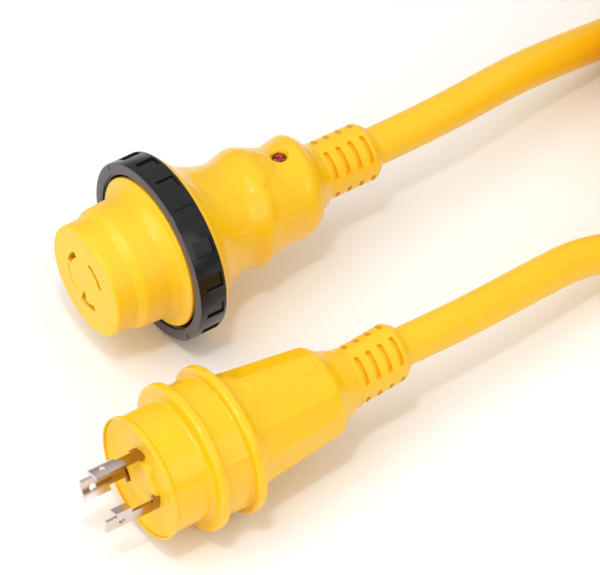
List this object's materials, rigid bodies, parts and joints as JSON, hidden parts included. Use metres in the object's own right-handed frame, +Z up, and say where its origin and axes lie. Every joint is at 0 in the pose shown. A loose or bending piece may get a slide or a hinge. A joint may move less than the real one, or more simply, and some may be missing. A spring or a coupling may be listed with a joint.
{
  "type": "shore power cord",
  "caption": "Yellow shore power cord with a locking socket connector, black threaded ring and red lamp at one end, a bladed locking plug at the other, and its cable coiled and strapped.",
  "frame": {"origin": "on the supporting surface, under the middle of the two connectors", "axes": "both connectors lie along X with their faces toward -X and their cables toward +X; the socket connector is on the +Y side; +Z up"},
  "size_m": [0.5533, 0.2486, 0.0826],
  "materials": {
    "yellow_overmould": "satin moulded vinyl",
    "yellow_carrier": "satin moulded vinyl",
    "yellow_relief": "satin moulded vinyl",
    "yellow_jacket": "smooth extruded vinyl",
    "black_ring": "polished moulded plastic",
    "red_lens": "clear-looking dark red, faceted inside",
    "lamp": "tinted epoxy",
    "resistor": "dipped",
    "tinned_wire": "tinned",
    "nickel_blade": "nickel plate",
    "brass_contact": "as stamped",
    "crimp": "tinned brass",
    "black_core": "insulation",
    "white_core": "insulation",
    "green_core": "insulation",
    "strap": "woven hook-and-loop"
  },
  "bodies": {
    "cord_set": {"cable_coil": "yellow_jacket", "coil_straps": "strap", "connector_body": "yellow_overmould", "connector_cable": "yellow_jacket", "connector_contact_ground": "brass_contact", "connector_contact_hot": "brass_contact", "connector_contact_neutral": "brass_contact", "connector_crimps": "crimp", "connector_face": "yellow_carrier", "connector_strain_relief": "yellow_relief", "connector_wire_ground": "green_core", "connector_wire_hot": "black_core", "connector_wire_neutral": "white_core", "indicator_leads": "tinned_wire", "indicator_led": "lamp", "indicator_lens": "red_lens", "indicator_resistor": "resistor", "plug_blade_ground": "nickel_blade", "plug_blade_hot": "nickel_blade", "plug_blade_neutral": "nickel_blade", "plug_body": "yellow_overmould", "plug_cable": "yellow_jacket", "plug_crimps": "crimp", "plug_face": "yellow_carrier", "plug_strain_relief": "yellow_relief", "plug_wire_ground": "green_core", "plug_wire_hot": "black_core", "plug_wire_neutral": "white_core"},
    "locking_ring": {"locking_ring": "black_ring"}
  },
  "joints": [
    {"name": "ring_turn", "type": "hinge", "parent": "cord_set", "child": "locking_ring", "pos_m": [0.0112, 0.04763, 0.0413], "axis": [-1, 0, 0], "continuous": true}
  ]
}
